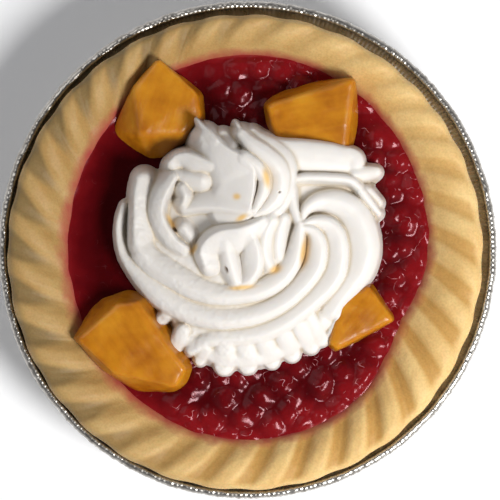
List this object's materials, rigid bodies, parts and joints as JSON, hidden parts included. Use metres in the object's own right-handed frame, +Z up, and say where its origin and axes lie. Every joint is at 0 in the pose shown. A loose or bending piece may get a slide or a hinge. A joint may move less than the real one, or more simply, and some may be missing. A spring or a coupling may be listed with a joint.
{
  "type": "cherry pie",
  "caption": "A small open cherry pie with a fluted crust in a round foil tin, topped with peach chunks and a piped swirl of whipped cream.",
  "frame": {"origin": "Centre of the tin's flat underside, where it meets the table, on the tin's axis.", "axes": "+Z points up out of the pie, +X to the right and +Y to the top as the pie is seen from straight above."},
  "size_m": [0.1266, 0.1266, 0.0456],
  "materials": {
    "foil": "bright crinkled foil",
    "pastry": "matte baked pastry, browned in the grooves",
    "cherry_jam": "wet and glossy, translucent dark red",
    "peach": "moist, translucent and fibrous",
    "whipped_cream": "soft satin"
  },
  "bodies": {
    "root": {"foil_tin": "foil", "pie_crust": "pastry", "cherry_filling": "cherry_jam", "peach_chunk_upper_left": "peach", "peach_chunk_upper_right": "peach", "peach_chunk_lower_left": "peach", "peach_chunk_lower_right": "peach", "whipped_cream": "whipped_cream"}
  },
  "joints": []
}
